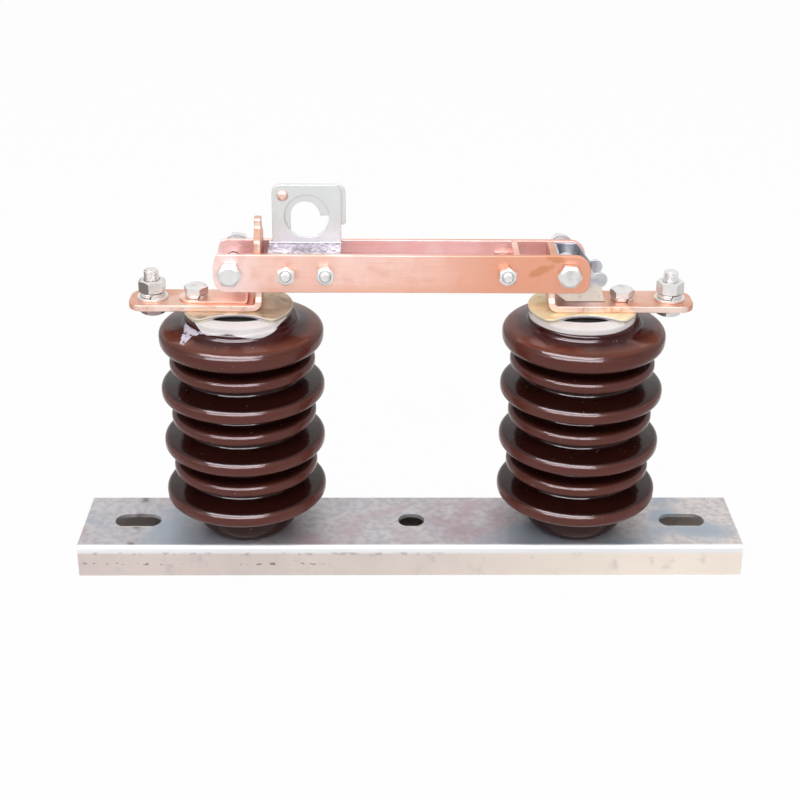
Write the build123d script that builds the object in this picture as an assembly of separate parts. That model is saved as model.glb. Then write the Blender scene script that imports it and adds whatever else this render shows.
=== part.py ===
from build123d import *

import os
from math import radians, sqrt, tan

# Single-pole knife disconnector: a folded steel base, two ribbed porcelain posts, two angled
# contact bars and a pair of copper blades that hinge at the +X end and close over the contact
# at the -X end. Millimetres. +X runs along the base towards the hinge, +Z is up, and the origin
# is at the centre of the base's underside.

# ---- Base channel: a folded section, web up and flanges down ----
base_length = 550.0
base_width = 84.0
base_height = 28.5
base_plate = 4.0
base_bend = 4.5  # outer radius of the two folds
slot_end_margin = 44.5  # slot's middle to the base's end
slot_length = 38.5
slot_width = 22.0
centre_hole_radius = 11.0

# ---- Porcelain posts ----
post_pitch = 275.0
post_height = 188.5
core_radius = 45.0
foot_radius = 42.0
foot_height = 20.0
foot_corner = 14.0  # the foot is turned under like a bowl
neck_radius = 45.0
shed_pitch = 45.7
shed_count = 4
big_shed_radius = 66.0
big_rim = 5.3  # half the thickness of a large rim
top_shed_rim = 7.5
small_shed_radius = 59.0
small_rim = 4.2
top_shed_drop = 16.0  # the top rim's centre below the glazed top
big_shed_slope = 3.5  # how far a shed's root is thicker than its rim, on each face
small_shed_slope = 2.0
root_fillet = 3.5
root_fillet_share = 0.55  # of the wall between two sheds, at most
rim_roundness = 0.85  # a rim's corner radius as a share of half its thickness
glaze_edge = 1.2

# ---- Unglazed top, and the flange plate that carries the contact ----
cap_radius = 42.8
cap_height = 4.6
flange_radius = 43.6
flange_waist_half_width = 20.8
flange_scoop_radius = 40.0
flange_tip_corner = 6.0
flange_plate_thickness = 2.4
flange_pad_thickness = 2.0
flange_arch_length = 37.0
flange_arch_rise = 1.9
flange_pad_inset = 0.8
flange_shift = -2.0  # the flange and the unglazed top sit off the post's axis, towards the jaw end

# ---- Contact bars: flat copper, one end bent up between the blades ----
bar_shoulder = 2.05  # how much wider the bar is than its upright, each side
bar_thickness = 5.5
bar_bend = 3.0  # inner radius of the bend
bar_end_corner = 12.0
jaw_upright_offset = 16.0  # post's centre to the middle of the upright's thickness
hinge_upright_offset = 28.8
jaw_terminal_offset = 69.0  # post's centre out to the terminal bolt
hinge_terminal_offset = 67.0
terminal_margin = 18.0  # terminal bolt to the bar's end
jaw_shoulder_rise = 9.0  # above the blades' top edge
jaw_shoulder_corner = 5.0
jaw_neck_corner = 3.0
jaw_tip_roundness = 0.8  # the tip's corner radius as a share of half the finger's width
jaw_finger_rise = 25.0
jaw_finger_width = 8.0
strip_thickness = 1.5
strip_width = 27.0
strip_lip = 6.0
strip_roundness = 0.98  # of a full half circle at its bolted end
strip_gap = 6.0  # from the lip to the upright

# ---- Blades ----
blade_gap = 32.0  # between the two blades' inner faces
blade_thickness = 4.0
blade_height = 31.0
blade_axis_rise = 27.3  # the bolts' axis above the bars
hinge_bolt_setback = 12.3  # from the hinge upright, away from the jaw
jaw_bolt_setback = 21.5  # from the jaw upright, away from the hinge
blade_hinge_end = 16.5  # the hinge bolt to the blade's end
blade_jaw_end = 12.8  # the jaw bolt to the blade's end
blade_hinge_top_corner = 12.5
blade_hinge_bottom_corner = 8.0
blade_jaw_end_bow = 3.0  # how far the jaw end's edge bows out between its corners
blade_front_jaw_top_corner = 1.5
blade_rear_jaw_top_corner = 6.0
blade_jaw_bottom_corner = 9.5
sliding_gap = 0.3  # between a blade and what it closes over
running_clearance = 0.05  # radial, the hinge bolt in the blades

# ---- Spacer strip between the blades ----
spacer_bolt_reach = 48.3  # from the hinge bolt
spacer_web_gap = 0.6  # between the bolt and the strip's web
spacer_thickness = 4.6
spacer_flange_thickness = 2.5
spacer_flange_length = 18.0
spacer_leg_height = 14.0
spacer_height = 30.0

# ---- Pull-ring frame and its latch lever ----
sheet_thickness = 2.0
sheet_bend = 1.5  # inner radius
ring_offset = 37.5  # jaw upright to the middle of the ring plate
ring_plate_width = 54.0
ring_plate_front_y = 8.0
ring_plate_height = 47.6  # above the blades' top edge
ring_ledge_overhang = 3.0  # the ledge past the plate's edge, towards the jaw
ring_corner = 7.0
ring_hole_radius = 17.5
ring_hole_height = 22.3  # hole centre above the blades' top edge
ring_flange_depth = 27.0
frame_bolt_spacing = 30.6
rivet_edge = 8.4  # rivet centre from the plate's left and top edges
rivet_radius = 2.5
rivet_head_radius = 4.6
rivet_head_height = 2.6
rivet_tail = 1.6  # its formed head behind the lever
lever_thickness = 2.5
lever_overhang = 3.5  # past the ring plate's right edge
lever_arm_bottom = 22.1  # the arm's lower edge above the blades' top edge
lever_notch_radius = 11.6  # the finger notch in the arm's lower edge
lever_notch_dx = -1.2  # the notch's centre from the ring plate's middle
lever_leg_foot = 4.0  # the leg's lower end above the blades' top edge
lever_tab_width = 8.0
lever_tab_drop = 7.5  # below the arm, at the end away from the rivet
lever_corner = 2.5

# ---- Hinge saddle: a bent steel bracket behind the hinge upright ----
saddle_thickness = 2.2
saddle_foot_x = 30.0  # lower tip, from the hinge bolt
saddle_bottom_drop = 24.5  # below the hinge bolt
saddle_notch_drop = 17.0
saddle_top_rise = 14.2
saddle_top_length = 8.5
saddle_lobe_x = 24.3
saddle_lobe_drop = 5.8
saddle_lobe_radius = 6.2

# ---- Fasteners: thread radius, width across flats, head and nut heights ----
m8 = dict(thread=4.0, flats=13.0, head=5.3, nut=6.5)
m10 = dict(thread=5.0, flats=17.0, head=6.8, nut=8.0)
m12 = dict(thread=6.0, flats=19.0, head=7.5, nut=10.4)
m16 = dict(thread=8.0, flats=24.0, head=10.0, nut=13.0)
bolt_clearance = 0.4  # radial, where a bolt only passes through
spring_washer_gap = 1.6
spring_washer_slant = 25  # degrees, of the washer's cut
hex_chamfer_circle = 0.97  # of the width across flats, where a head's or nut's corners are turned off
flat_washer_m12 = dict(radius=12.2, height=2.0)
flat_washer_m10 = dict(radius=10.5, height=2.0)
pressure_spring = dict(radius=8.5, height=24.0, wire=2.2)
spring_washer_m12 = dict(radius=10.0, height=3.2)
spring_washer_m10 = dict(radius=9.0, height=2.6)
terminal_thread_above_nut = 8.0
through_thread_past_nut = 3.0
flange_bolt_engagement = 22.0
base_bolt_engagement = 30.0
jaw_flange_bolt_offset = 34.5  # outward from the post's centre
hinge_flange_bolt_offset = 29.0
thread_end_chamfer = 1.0

# ---- Levels and places that follow from the sizes above ----
slot_pitch = base_length - 2 * slot_end_margin
post_foot_z = base_height
post_top_z = post_foot_z + post_height
cap_top_z = post_top_z + cap_height
pad_top_z = cap_top_z + flange_pad_thickness
flange_top_z = pad_top_z + flange_plate_thickness
bar_top_z = flange_top_z + bar_thickness
jaw_post_x = -post_pitch / 2
hinge_post_x = post_pitch / 2
jaw_terminal_x = jaw_post_x - jaw_terminal_offset
hinge_terminal_x = hinge_post_x + hinge_terminal_offset
jaw_upright_x = jaw_post_x + jaw_upright_offset
hinge_upright_x = hinge_post_x - hinge_upright_offset
jaw_flange_bolt_x = jaw_post_x - jaw_flange_bolt_offset
hinge_flange_bolt_x = hinge_post_x + hinge_flange_bolt_offset
blade_axis_z = bar_top_z + blade_axis_rise
blade_top_z = blade_axis_z + blade_height / 2
hinge_x = hinge_upright_x + hinge_bolt_setback
jaw_bolt_x = jaw_upright_x - jaw_bolt_setback
spacer_bolt_x = hinge_x - spacer_bolt_reach
spacer_web_x = spacer_bolt_x + m8["thread"] + bolt_clearance + spacer_web_gap
ring_centre_x = jaw_upright_x + ring_offset
frame_bolts_x = (ring_centre_x - frame_bolt_spacing / 2, ring_centre_x + frame_bolt_spacing / 2)
blade_inner_y = blade_gap / 2
blade_outer_y = blade_inner_y + blade_thickness
upright_width = blade_gap - 2 * sliding_gap
bar_width = upright_width + 2 * bar_shoulder
ring_left_x = ring_centre_x - ring_plate_width / 2
ledge_left_x = ring_left_x - ring_ledge_overhang
ring_right_x = ring_centre_x + ring_plate_width / 2
ring_top_z = blade_top_z + ring_plate_height
ring_plate_back_y = ring_plate_front_y + sheet_thickness
rivet_x = ring_left_x + rivet_edge
rivet_z = ring_top_z - rivet_edge
lever_front_y = ring_plate_back_y + sliding_gap
lever_back_y = lever_front_y + lever_thickness
saddle_outer_y = blade_inner_y - sliding_gap
saddle_back_x = hinge_upright_x + bar_thickness / 2

os.makedirs("parts", exist_ok=True)


def save(name, shape):
    """Write one piece to its own file."""
    shape.label = name
    export_step(shape, f"parts/{name}.step")


def cylinder(radius, start, end):
    """A round bar between two points."""
    start, end = Vector(*start), Vector(*end)
    along = end - start
    plane = Plane(origin=start, z_dir=along)
    return extrude(plane * Circle(radius), along.length)


def plate(outline, normal, start, thickness):
    """A flat face drawn in the XZ or XY plane, given a thickness from a start level."""
    if normal == "y":
        plane = Plane(origin=(0, start + thickness, 0), x_dir=(1, 0, 0), z_dir=(0, -1, 0))
    elif normal == "x":
        plane = Plane(origin=(start, 0, 0), x_dir=(0, 1, 0), z_dir=(1, 0, 0))
    else:
        plane = Plane.XY.offset(start)
    return extrude(plane * outline, thickness)


def polygon(*points):
    """A filled outline with straight sides."""
    return make_face(Polyline(*points, close=True))


def corner(outline, x, y):
    """The vertex of an outline nearest to a point."""
    return outline.vertices().sort_by_distance((x, y, 0))[0]


def hexagon(flats, height):
    """A hexagonal prism on the XY plane with its top corners turned off at 30 degrees."""
    corners = flats / sqrt(3)
    circle = hex_chamfer_circle * flats / 2
    outside = corners + 1
    prism = extrude(RegularPolygon(radius=corners, side_count=6), height)
    edge = height - (outside - circle) * tan(radians(30))
    turned = polygon((0, 0), (outside, 0), (outside, edge), (circle, height), (0, height))
    return prism & revolve(Plane.XZ * turned, Axis.Z)


def bolt(size, head_point, direction, length, spin=0.0):
    """A hexagon bolt: the head's seat is at head_point and the shank runs along direction."""
    head = Rot(0, 180, 0) * hexagon(size["flats"], size["head"])
    shank = Cylinder(size["thread"], length, align=(Align.CENTER, Align.CENTER, Align.MIN))
    end = shank.edges().filter_by(GeomType.CIRCLE).sort_by(Axis.Z)[-1]
    shank = chamfer(end, thread_end_chamfer)
    plane = Plane(origin=head_point, x_dir=fastener_x(direction), z_dir=direction)
    return plane * (Rot(0, 0, spin) * (head + shank))


def fastener_x(direction):
    """A reference direction square to a fastener's axis."""
    return (1, 0, 0) if abs(direction[0]) < 0.5 else (0, 1, 0)


def nut(size, seat, direction, spin=0.0):
    """A hexagon nut chamfered on its outer face, bored to its bolt."""
    body = hexagon(size["flats"], size["nut"])
    body -= Cylinder(size["thread"], 4 * size["nut"])
    plane = Plane(origin=seat, x_dir=fastener_x(direction), z_dir=direction)
    return plane * (Rot(0, 0, spin) * body)


def washer(size, hole_radius, seat, direction, split=False):
    """A flat ring, or a spring washer with a slanted cut."""
    ring = Cylinder(size["radius"], size["height"], align=(Align.CENTER, Align.CENTER, Align.MIN))
    ring -= Cylinder(hole_radius, 4 * size["height"])
    if split:
        reach = size["radius"]
        cut = Rot(0, spring_washer_slant, 0) * Box(spring_washer_gap, reach, 3 * size["height"])
        ring -= Pos(0, -reach, size["height"] / 2) * cut
    plane = Plane(origin=seat, x_dir=fastener_x(direction), z_dir=direction)
    return plane * ring


# ---- Base channel ----
def make_base():
    """The folded section, with its two slots, the middle hole and the posts' bolt holes."""
    outer = Rectangle(base_width, base_height, align=(Align.CENTER, Align.MIN))
    outer = fillet(outer.vertices().group_by(Axis.Y)[-1], base_bend)
    inner_width, inner_height = base_width - 2 * base_plate, base_height - base_plate
    inner = Rectangle(inner_width, inner_height, align=(Align.CENTER, Align.MIN))
    inner = fillet(inner.vertices().group_by(Axis.Y)[-1], max(base_bend - base_plate, 0.5))
    section = Plane.YZ * (outer - inner)
    body = Pos(-base_length / 2, 0, 0) * extrude(section, base_length)
    for x in (-slot_pitch / 2, slot_pitch / 2):
        slot = Pos(x, 0, base_height) * SlotOverall(slot_length, slot_width)
        body -= extrude(slot, base_plate + 1, both=True)
    bolt_hole = m16["thread"] + bolt_clearance
    for x, radius in ((0, centre_hole_radius), (jaw_post_x, bolt_hole), (hinge_post_x, bolt_hole)):
        body -= cylinder(radius, (x, 0, base_height - 2 * base_plate), (x, 0, base_height + 1))
    return body


# ---- Porcelain posts ----
def post_section():
    """Half the post's section: a core with alternating large and small rounded sheds."""
    sheds = []
    top = post_height - top_shed_drop
    for index in range(shed_count):
        half = top_shed_rim if index == 0 else big_rim
        sheds.append((top - index * shed_pitch, big_shed_radius, half, big_shed_slope))
        if index < shed_count - 1:
            level = top - (index + 0.5) * shed_pitch
            sheds.append((level, small_shed_radius, small_rim, small_shed_slope))
    points = [(0, 0), (foot_radius, 0), (foot_radius, foot_height)]
    radii = [foot_corner, glaze_edge]
    for height, radius, half, slope in reversed(sheds):
        points += [
            (core_radius, height - half - slope),
            (radius, height - half),
            (radius, height + half),
            (core_radius, height + half + slope),
        ]
        radii += [0, rim_roundness * half, rim_roundness * half, 0]
    points += [(neck_radius, post_height), (0, post_height)]
    radii += [glaze_edge]
    # The root fillets share the straight wall between two sheds.
    for index, radius in enumerate(radii):
        if radius == 0:
            below, here, above = points[index], points[index + 1], points[index + 2]
            walls = [abs(here[1] - p[1]) for p in (below, above) if p[0] <= core_radius]
            radii[index] = min(root_fillet, root_fillet_share * min(walls))
    outline = FilletPolyline(*[(x, 0, z) for x, z in points], radius=radii)
    return make_face([*outline.edges(), Line((0, 0, post_height), (0, 0, 0))])


def make_post(x, top_bolt_x):
    """The porcelain body, with the holes that take its base bolt and its flange bolt."""
    body = Pos(x, 0, post_foot_z) * revolve(post_section(), Axis.Z)
    foot_hole_z = post_foot_z + base_bolt_engagement
    top_hole_z = post_top_z - flange_bolt_engagement
    body -= cylinder(m16["thread"], (x, 0, post_foot_z - 1), (x, 0, foot_hole_z))
    body -= cylinder(m10["thread"], (top_bolt_x, 0, top_hole_z), (top_bolt_x, 0, post_top_z + 1))
    return body


# ---- Unglazed tops and flange plates ----
def make_cap(x, bolt_x):
    """The unglazed disc on a post's top."""
    middle = x + flange_shift
    cap = cylinder(cap_radius, (middle, 0, post_top_z), (middle, 0, cap_top_z))
    hole = m10["thread"] + bolt_clearance
    return cap - cylinder(hole, (bolt_x, 0, post_top_z - 1), (bolt_x, 0, cap_top_z + 1))


def flange_outline(inset):
    """A round plate with a shallow scoop in each side, its four tips rounded over."""
    body = Circle(flange_radius - inset)
    scoop_y = flange_waist_half_width + flange_scoop_radius
    for side in (-1, 1):
        body -= Pos(0, side * scoop_y) * Circle(flange_scoop_radius + inset)
    tips = [v for v in body.vertices() if abs(v.Y) > flange_waist_half_width]
    return fillet(tips, flange_tip_corner - inset)


def make_flange(x, bolt_x):
    """The flange plate on its pads, arched to leave a thin gap under its waist."""
    top = extrude(Plane.XY.offset(pad_top_z) * flange_outline(0), flange_plate_thickness)
    pads = extrude(Plane.XY.offset(cap_top_z) * flange_outline(flange_pad_inset), flange_pad_thickness)
    half, rise = flange_arch_length / 2, flange_arch_rise
    radius = (half**2 + rise**2) / (2 * rise)
    arch_z = cap_top_z + rise - radius
    pads -= cylinder(radius, (0, -base_width, arch_z), (0, base_width, arch_z))
    hole = m10["thread"] + bolt_clearance
    body = Pos(x + flange_shift, 0, 0) * (top + pads)
    return body - cylinder(hole, (bolt_x, 0, cap_top_z - 1), (bolt_x, 0, flange_top_z + 1))


# ---- Contact bars ----
def make_angled_bar(end_x, upright_x, upright_outline, holes):
    """A flat bar from its free end to the upright, bent up, and cut to the upright's outline."""
    toward_end = 1 if end_x > upright_x else -1
    outer_x = upright_x - toward_end * bar_thickness / 2
    inner_x = upright_x + toward_end * bar_thickness / 2
    top = blade_top_z + jaw_finger_rise
    profile = polygon(
        (end_x, flange_top_z), (outer_x, flange_top_z), (outer_x, top),
        (inner_x, top), (inner_x, bar_top_z), (end_x, bar_top_z),
    )
    profile = fillet(corner(profile, outer_x, flange_top_z), bar_bend + bar_thickness)
    profile = fillet(corner(profile, inner_x, bar_top_z), bar_bend)
    body = plate(profile, "y", -bar_width / 2, bar_width)
    reach = abs(end_x - outer_x)
    plan = Pos((end_x + outer_x) / 2, 0) * Rectangle(reach, bar_width)
    ends = [v for v in plan.vertices() if abs(v.X - end_x) < 0.01]
    body &= plate(fillet(ends, bar_end_corner), "z", flange_top_z, top - flange_top_z)
    body &= plate(upright_outline, "x", min(end_x, outer_x), reach)
    for hole_x, radius in holes:
        body -= cylinder(radius, (hole_x, 0, flange_top_z - 1), (hole_x, 0, bar_top_z + 1))
    return body


def jaw_upright_outline():
    """The upright seen along the bar: rounded shoulders under a narrow raised finger."""
    half, tip = upright_width / 2, jaw_finger_width / 2
    shoulder_z, tip_z = blade_top_z + jaw_shoulder_rise, blade_top_z + jaw_finger_rise
    neck_z = (shoulder_z + tip_z) / 2
    wide_z = bar_top_z + bar_bend
    outline = polygon(
        (-bar_width / 2, flange_top_z), (bar_width / 2, flange_top_z), (bar_width / 2, wide_z),
        (half, wide_z + bar_bend), (half, shoulder_z), (tip, neck_z),
        (tip, tip_z), (-tip, tip_z), (-tip, neck_z),
        (-half, shoulder_z), (-half, wide_z + bar_bend), (-bar_width / 2, wide_z),
    )
    for side in (-1, 1):
        outline = fillet(corner(outline, side * half, shoulder_z), jaw_shoulder_corner)
        outline = fillet(corner(outline, side * tip, neck_z), jaw_neck_corner)
        outline = fillet(corner(outline, side * tip, tip_z), jaw_tip_roundness * tip)
    return outline


def hinge_upright_outline():
    """The upright seen along the bar: straight sides with eased top corners."""
    half = upright_width / 2
    wide_z = bar_top_z + bar_bend
    outline = polygon(
        (-bar_width / 2, flange_top_z), (bar_width / 2, flange_top_z), (bar_width / 2, wide_z),
        (half, wide_z + bar_bend), (half, blade_top_z), (-half, blade_top_z),
        (-half, wide_z + bar_bend), (-bar_width / 2, wide_z),
    )
    for side in (-1, 1):
        outline = fillet(corner(outline, side * half, blade_top_z), bar_bend)
    return outline


def make_strip():
    """A thin copper strip that lies on the jaw bar, with its inner end turned up."""
    start = jaw_flange_bolt_x - strip_width / 2
    lip_x = jaw_upright_x - bar_thickness / 2 - strip_gap
    top = bar_top_z + strip_thickness
    lip_z = bar_top_z + strip_lip
    profile = polygon(
        (start, bar_top_z), (lip_x, bar_top_z), (lip_x, lip_z),
        (lip_x - strip_thickness, lip_z), (lip_x - strip_thickness, top), (start, top),
    )
    profile = fillet(corner(profile, lip_x, bar_top_z), 2 * strip_thickness)
    profile = fillet(corner(profile, lip_x - strip_thickness, top), strip_thickness)
    body = plate(profile, "y", -strip_width / 2, strip_width)
    plan = Pos((start + lip_x) / 2, 0) * Rectangle(lip_x - start, strip_width)
    ends = [v for v in plan.vertices() if abs(v.X - start) < 0.01]
    body &= plate(fillet(ends, strip_roundness * strip_width / 2), "z", bar_top_z, strip_lip)
    hole = m10["thread"] + bolt_clearance
    hole_x = jaw_flange_bolt_x
    return body - cylinder(hole, (hole_x, 0, bar_top_z - 1), (hole_x, 0, lip_z))


# ---- Blades and the pieces between them ----


def make_blade(inner_y, jaw_top_corner):
    """A flat copper bar with rounded corners, a bowed jaw end and its five holes."""
    left = jaw_bolt_x - blade_jaw_end
    corners_x = left + blade_jaw_end_bow
    right = hinge_x + blade_hinge_end
    low, top = blade_axis_z - blade_height / 2, blade_top_z
    sides = Polyline((corners_x, low), (right, low), (right, top), (corners_x, top))
    bow = ThreePointArc((corners_x, top), (left, blade_axis_z), (corners_x, low))
    outline = make_face([*sides.edges(), bow])
    outline = fillet(corner(outline, corners_x, low), blade_jaw_bottom_corner)
    outline = fillet(corner(outline, corners_x, top), jaw_top_corner)
    outline = fillet(corner(outline, right, low), blade_hinge_bottom_corner)
    outline = fillet(corner(outline, right, top), blade_hinge_top_corner)
    outline -= Pos(hinge_x, blade_axis_z) * Circle(m10["thread"] + running_clearance)
    outline -= Pos(jaw_bolt_x, blade_axis_z) * Circle(m10["thread"] + bolt_clearance)
    for x in (*frame_bolts_x, spacer_bolt_x):
        outline -= Pos(x, blade_axis_z) * Circle(m8["thread"] + bolt_clearance)
    return plate(outline, "y", inner_y, blade_thickness)


def make_spacer():
    """A copper strip bent to a U: its web crosses the gap and its legs lie on the blades."""
    right = spacer_web_x + spacer_thickness
    left = right - spacer_flange_length
    middle_z = blade_top_z - spacer_height / 2
    web = Pos(right - spacer_thickness / 2, middle_z) * Rectangle(spacer_thickness, spacer_height)
    body = plate(web, "y", -blade_inner_y, blade_gap)
    leg = Pos((left + right) / 2, blade_axis_z) * Rectangle(spacer_flange_length, spacer_leg_height)
    for start in (-blade_inner_y, blade_inner_y - spacer_flange_thickness):
        body += plate(leg, "y", start, spacer_flange_thickness)
    hole, x, z = m8["thread"] + bolt_clearance, spacer_bolt_x, blade_axis_z
    return body - cylinder(hole, (x, -blade_outer_y, z), (x, blade_outer_y, z))


def make_ring_frame():
    """A folded sheet: a flange inside the front blade, a ledge, and the ring plate standing up."""
    t, top = sheet_thickness, blade_top_z
    front, back = -blade_inner_y, ring_plate_back_y
    low = top - ring_flange_depth
    profile = polygon(
        (front, low), (front + t, low), (front + t, top - t), (back, top - t),
        (back, ring_top_z), (back - t, ring_top_z), (back - t, top), (front, top),
    )
    profile = fillet(corner(profile, front, top), sheet_bend + t)
    profile = fillet(corner(profile, front + t, top - t), sheet_bend)
    profile = fillet(corner(profile, back, top - t), sheet_bend + t)
    profile = fillet(corner(profile, back - t, top), sheet_bend)
    body = plate(profile, "x", ledge_left_x, ring_right_x - ledge_left_x)
    face = polygon(
        (ledge_left_x, low), (ring_right_x, low), (ring_right_x, ring_top_z),
        (ring_left_x, ring_top_z), (ring_left_x, top + sheet_bend), (ledge_left_x, top + sheet_bend),
    )
    for x, z in (
        (ledge_left_x, low), (ring_right_x, low), (ring_right_x, ring_top_z), (ring_left_x, ring_top_z)
    ):
        face = fillet(corner(face, x, z), ring_corner)
    face -= Pos(ring_centre_x, top + ring_hole_height) * Circle(ring_hole_radius)
    face -= Pos(rivet_x, rivet_z) * Circle(rivet_radius)
    body &= plate(face, "y", front, back - front)
    hole, z = m8["thread"] + bolt_clearance, blade_axis_z
    for x in frame_bolts_x:
        body -= cylinder(hole, (x, -blade_outer_y, z), (x, front + 2 * t, z))
    return body


def make_rivet():
    """A domed head in front of the ring plate, and a flat formed head behind the lever."""
    start, end = ring_plate_front_y, lever_back_y + sliding_gap
    body = cylinder(rivet_radius, (0, start, 0), (0, end + rivet_tail, 0))
    body += cylinder(rivet_head_radius, (0, end, 0), (0, end + rivet_tail, 0))
    sphere_radius = (rivet_head_radius**2 + rivet_head_height**2) / (2 * rivet_head_height)
    dome = Pos(0, start - rivet_head_height + sphere_radius, 0) * Sphere(sphere_radius)
    dome &= cylinder(rivet_head_radius, (0, start - 2 * rivet_head_height, 0), (0, start, 0))
    return Pos(rivet_x, 0, rivet_z) * (body + dome)


def make_lever():
    """The latch lever: a notched arm along the top, a leg on the jaw side and an end tab."""
    left, right = ring_left_x, ring_right_x + lever_overhang
    arm_z = blade_top_z + lever_arm_bottom
    foot_z = blade_top_z + lever_leg_foot
    tab_z = arm_z - lever_tab_drop
    notch_x = ring_centre_x + lever_notch_dx
    leg_x = notch_x - lever_notch_radius
    tab_x = right - lever_tab_width
    outline = polygon(
        (left, foot_z), (leg_x, foot_z), (leg_x, arm_z), (tab_x, arm_z),
        (tab_x, tab_z), (right, tab_z), (right, ring_top_z), (left, ring_top_z),
    )
    outline = fillet(corner(outline, left, ring_top_z), ring_corner)
    outline = fillet(corner(outline, right, ring_top_z), ring_corner)
    for x, z in ((left, foot_z), (leg_x, foot_z), (tab_x, tab_z), (right, tab_z)):
        outline = fillet(corner(outline, x, z), lever_corner)
    outline -= Pos(notch_x, arm_z) * Circle(lever_notch_radius)
    outline -= Pos(rivet_x, rivet_z) * Circle(rivet_radius + running_clearance)
    return plate(outline, "y", lever_front_y, lever_thickness)


# ---- Hinge saddle ----
def make_saddle():
    """A bracket bent to a U in plan: its web backs the upright and its cheeks hold the bolt."""
    x, z = hinge_x, blade_axis_z
    back, t = saddle_back_x, saddle_thickness
    lobe_x, lobe_z = x + saddle_lobe_x, z - saddle_lobe_drop
    cheek = polygon(
        (back, z - saddle_notch_drop), (x, z - saddle_bottom_drop),
        (x + saddle_foot_x, z - saddle_bottom_drop), (lobe_x, lobe_z),
        (x + saddle_top_length, z + saddle_top_rise), (back, z + saddle_top_rise),
    )
    cheek += Pos(lobe_x, lobe_z) * Circle(saddle_lobe_radius)
    cheek -= Pos(x, z) * Circle(m10["thread"])
    web_height = saddle_notch_drop + saddle_top_rise
    web = Pos(back + t / 2, z - saddle_notch_drop + web_height / 2) * Rectangle(t, web_height)
    body = plate(web, "y", -saddle_outer_y, 2 * saddle_outer_y)
    for start in (-saddle_outer_y, saddle_outer_y - t):
        body += plate(cheek, "y", start, t)
    return body


save("base_channel", make_base())
save("jaw_insulator", make_post(jaw_post_x, jaw_flange_bolt_x))
save("hinge_insulator", make_post(hinge_post_x, hinge_flange_bolt_x))
save("jaw_cap", make_cap(jaw_post_x, jaw_flange_bolt_x))
save("hinge_cap", make_cap(hinge_post_x, hinge_flange_bolt_x))
save("jaw_flange", make_flange(jaw_post_x, jaw_flange_bolt_x))
save("hinge_flange", make_flange(hinge_post_x, hinge_flange_bolt_x))

m12_hole = m12["thread"] + bolt_clearance
m10_hole = m10["thread"] + bolt_clearance
save("jaw_contact_bar", make_angled_bar(
    jaw_terminal_x - terminal_margin, jaw_upright_x, jaw_upright_outline(),
    [(jaw_terminal_x, m12_hole), (jaw_flange_bolt_x, m10_hole)],
))
save("hinge_contact_bar", make_angled_bar(
    hinge_terminal_x + terminal_margin, hinge_upright_x, hinge_upright_outline(),
    [(hinge_terminal_x, m12_hole), (hinge_flange_bolt_x, m10_hole)],
))
save("jaw_strip", make_strip())
save("blade_front", make_blade(-blade_outer_y, blade_front_jaw_top_corner))
save("blade_rear", make_blade(blade_inner_y, blade_rear_jaw_top_corner))
save("blade_spacer", make_spacer())
save("ring_frame", make_ring_frame())
save("latch_rivet", make_rivet())
save("latch_lever", make_lever())
save("hinge_saddle", make_saddle())

up, down, to_back, to_front = (0, 0, 1), (0, 0, -1), (0, 1, 0), (0, -1, 0)

# ---- Bolts under the posts ----
for name, x in (("jaw", jaw_post_x), ("hinge", hinge_post_x)):
    length = base_plate + base_bolt_engagement
    seat = (x, 0, base_height - base_plate)
    save(f"{name}_base_bolt", bolt(m16, seat, up, length, spin=15))

# ---- Bolts through the flanges ----
for name, x, seat_z in (
    ("jaw", jaw_flange_bolt_x, bar_top_z + strip_thickness),
    ("hinge", hinge_flange_bolt_x, bar_top_z),
):
    head_z = seat_z + spring_washer_m10["height"]
    length = head_z - (post_top_z - flange_bolt_engagement)
    ring = washer(spring_washer_m10, m10_hole, (x, 0, seat_z), up, split=True)
    save(f"{name}_flange_washer", ring)
    save(f"{name}_flange_bolt", bolt(m10, (x, 0, head_z), down, length, spin=8))

# ---- Terminal studs: bolts up through the bars' ends ----
for name, x in (("jaw", jaw_terminal_x), ("hinge", hinge_terminal_x)):
    spring_z = bar_top_z + flat_washer_m12["height"]
    nut_z = spring_z + spring_washer_m12["height"]
    length = nut_z + m12["nut"] + terminal_thread_above_nut - flange_top_z
    spring = washer(spring_washer_m12, m12_hole, (x, 0, spring_z), up, split=True)
    save(f"{name}_terminal_washer", washer(flat_washer_m12, m12_hole, (x, 0, bar_top_z), up))
    save(f"{name}_terminal_spring_washer", spring)
    save(f"{name}_terminal_nut", nut(m12, (x, 0, nut_z), up, spin=20))
    save(f"{name}_terminal_bolt", bolt(m12, (x, 0, flange_top_z), up, length, spin=12))

# ---- Cross bolts with pressure springs behind the rear blade ----
for name, x, gap in (("jaw", jaw_bolt_x, 0.0), ("hinge", hinge_x, sliding_gap)):
    z = blade_axis_z
    spring_y = blade_outer_y + gap
    washer_y = spring_y + pressure_spring["height"]
    nut_y = washer_y + flat_washer_m10["height"]
    head_y = -spring_y
    length = nut_y + m10["nut"] + through_thread_past_nut - head_y
    inner = pressure_spring["radius"] - pressure_spring["wire"]
    save(f"{name}_spring", washer(pressure_spring, inner, (x, spring_y, z), to_back))
    save(f"{name}_washer", washer(flat_washer_m10, m10_hole, (x, washer_y, z), to_back))
    save(f"{name}_nut", nut(m10, (x, nut_y, z), to_back, spin=10))
    save(f"{name}_bolt", bolt(m10, (x, head_y, z), to_back, length, spin=4))

# ---- Small bolts through the blades: nuts in front, heads behind ----
for name, x in zip(("frame_jaw_side", "frame_hinge_side", "spacer"), (*frame_bolts_x, spacer_bolt_x)):
    length = 2 * blade_outer_y + m8["nut"] + through_thread_past_nut
    save(f"{name}_bolt", bolt(m8, (x, blade_outer_y, blade_axis_z), to_front, length))
    save(f"{name}_nut", nut(m8, (x, -blade_outer_y, blade_axis_z), to_front, spin=25))
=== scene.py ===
import math

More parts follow.
